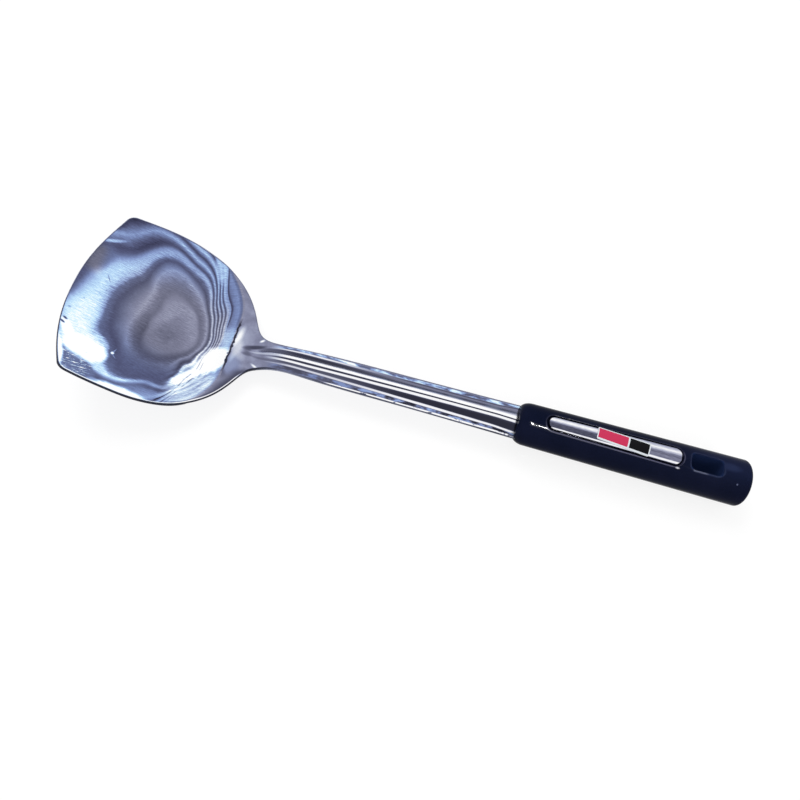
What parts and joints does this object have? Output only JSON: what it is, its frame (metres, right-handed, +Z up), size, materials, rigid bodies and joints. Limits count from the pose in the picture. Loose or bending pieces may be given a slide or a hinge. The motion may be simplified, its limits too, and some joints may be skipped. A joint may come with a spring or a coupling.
{
  "type": "wok spatula",
  "caption": "Shallow scoop-shaped steel spatula blade on a ribbed shank, with a round moulded handle, a domed metal inlay strip and a hanging hole.",
  "frame": {"origin": "middle of the bounding box, on the surface that the object lies on", "axes": "+X from the blade's leading edge towards the handle's rear end, +Y across the blade, +Z up out of the bowl; the XZ plane is the mirror plane"},
  "size_m": [0.355, 0.0936, 0.034],
  "materials": {
    "blade_steel": "fine brushed bowl, brighter polished shank",
    "grip_plastic": "glossy navy black",
    "inlay_steel": "satin",
    "label_film": "blank two-tone film"
  },
  "bodies": {
    "root": {"blade_and_shank": "blade_steel", "handle_grip": "grip_plastic", "handle_inlay": "inlay_steel", "inlay_label": "label_film"}
  },
  "joints": []
}
